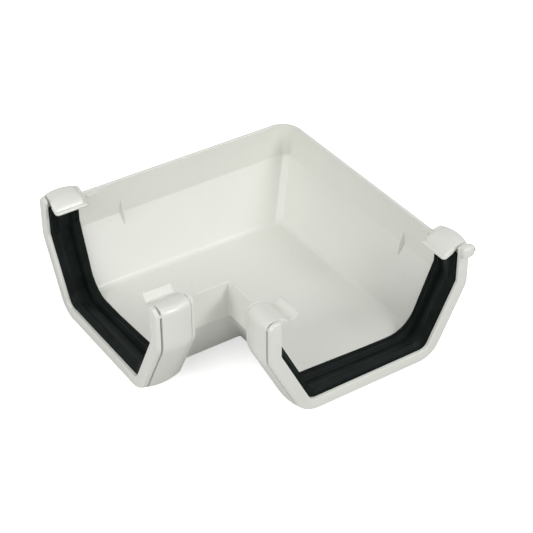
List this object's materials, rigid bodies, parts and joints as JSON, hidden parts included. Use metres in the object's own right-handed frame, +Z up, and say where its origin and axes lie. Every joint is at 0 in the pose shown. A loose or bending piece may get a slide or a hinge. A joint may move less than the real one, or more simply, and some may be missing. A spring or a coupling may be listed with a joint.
{
  "type": "gutter angle",
  "caption": "Right-angle corner for a square-profile rainwater gutter: an open trough with a sealed, strapped socket on each leg.",
  "frame": {"origin": "centre of the bounding box, at the level of the strap bottoms that the angle rests on", "axes": "+Z up, open side up; one leg runs to -X and its socket faces -X, the other runs to -Y and its socket faces -Y"},
  "size_m": [0.1714, 0.1746, 0.0701],
  "materials": {
    "white_pvc": "smooth moulded, half gloss",
    "black_rubber": "matte ribbed"
  },
  "bodies": {
    "root": {"angle_body": "white_pvc", "strap_left": "white_pvc", "strap_right": "white_pvc", "seal_left": "black_rubber", "seal_right": "black_rubber"}
  },
  "joints": []
}
